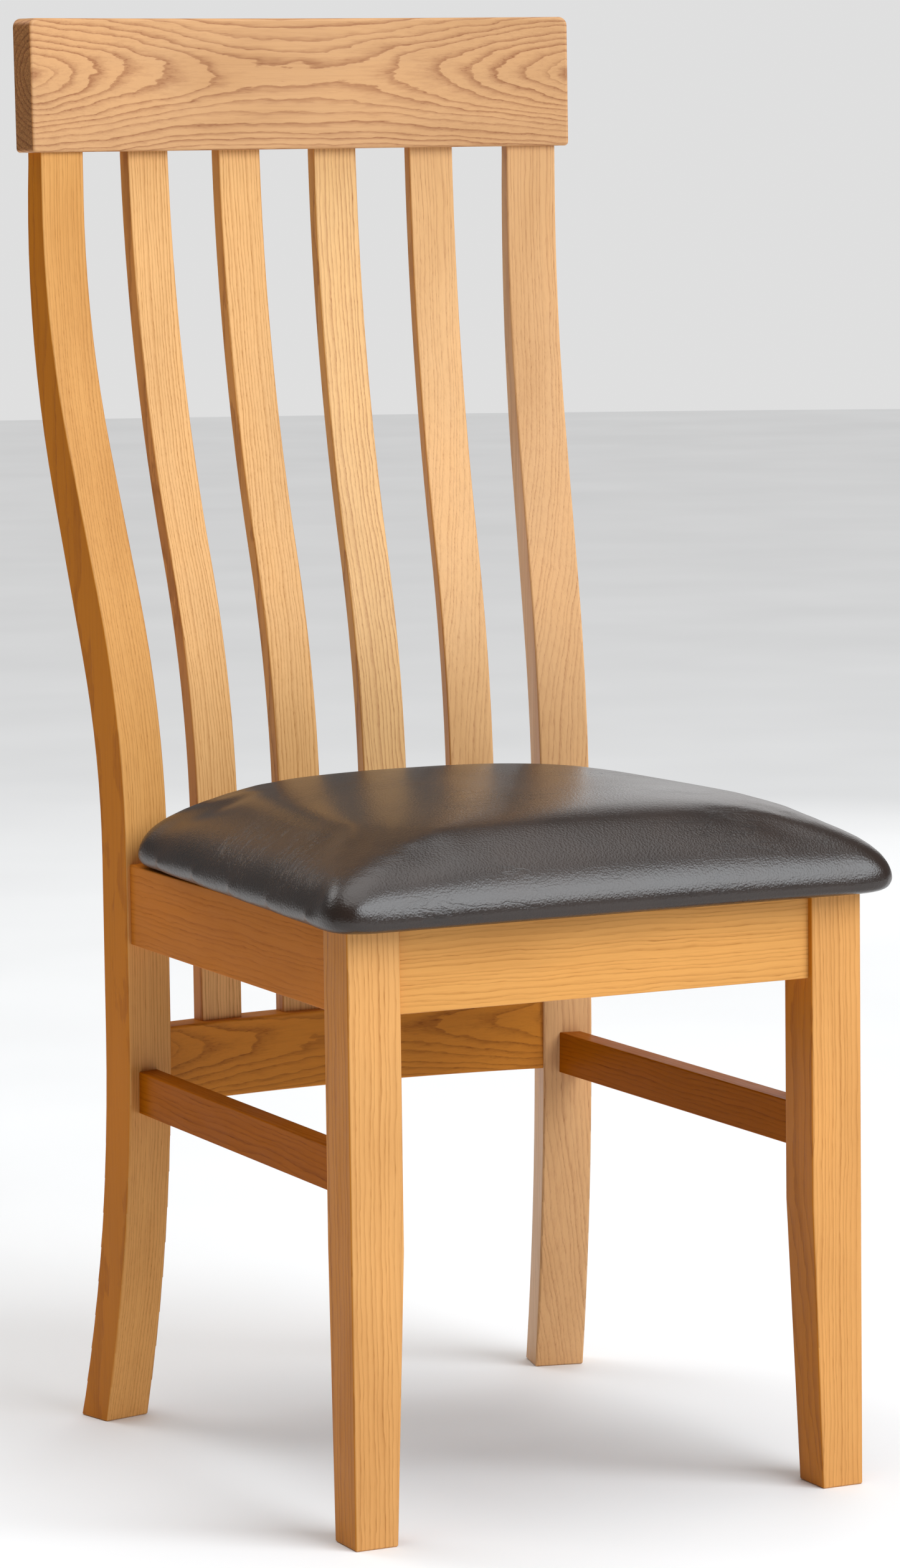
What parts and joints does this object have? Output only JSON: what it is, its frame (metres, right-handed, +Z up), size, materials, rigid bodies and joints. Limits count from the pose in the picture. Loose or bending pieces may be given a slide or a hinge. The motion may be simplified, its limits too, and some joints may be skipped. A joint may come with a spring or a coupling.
{
  "type": "dining chair",
  "caption": "Solid ash dining chair with a curved slatted high back, plain square front legs, side stretchers and a padded dark brown leatherette seat.",
  "frame": {"origin": "on the floor, below the middle of the chair's bounding box", "axes": "+Z up, the sitter faces -Y, +X is to the sitter's left; left and right in the node names are as seen by someone facing the chair's front"},
  "size_m": [0.4454, 0.5513, 1.026],
  "materials": {
    "honey_ash": "clear lacquer over honey-stained ash, satin gloss",
    "amber_ash": "clear lacquer over amber-stained ash, satin gloss",
    "crest_ash": "clear lacquer over flat-sawn ash with cathedral figure",
    "plain_ash": "sanded and sealed, low gloss",
    "plywood": "raw plywood",
    "foam": "open-cell polyurethane foam",
    "dark_brown_leather": "dark brown leatherette, fine pebble grain, semi-gloss",
    "black_cloth": "spun-bonded black dust cloth",
    "zinc_steel": "zinc plated"
  },
  "bodies": {
    "root": {"front_leg_left": "honey_ash", "front_leg_right": "honey_ash", "front_seat_rail": "honey_ash", "rear_leg_left": "amber_ash", "rear_leg_right": "amber_ash", "lower_back_rail": "amber_ash", "left_seat_rail": "amber_ash", "right_seat_rail": "amber_ash", "left_stretcher": "amber_ash", "right_stretcher": "amber_ash", "back_slat_outer_left": "amber_ash", "back_slat_inner_left": "amber_ash", "back_slat_inner_right": "amber_ash", "back_slat_outer_right": "amber_ash", "crest_rail": "crest_ash", "rear_seat_rail": "plain_ash", "corner_block_front_left": "plain_ash", "corner_block_front_right": "plain_ash", "corner_block_rear_left": "plain_ash", "corner_block_rear_right": "plain_ash", "seat_board": "plywood", "seat_foam": "foam", "seat_cover": "dark_brown_leather", "seat_dust_cloth": "black_cloth", "corner_block_screws": "zinc_steel", "seat_screws": "zinc_steel", "dust_cloth_staples": "zinc_steel"}
  },
  "joints": []
}
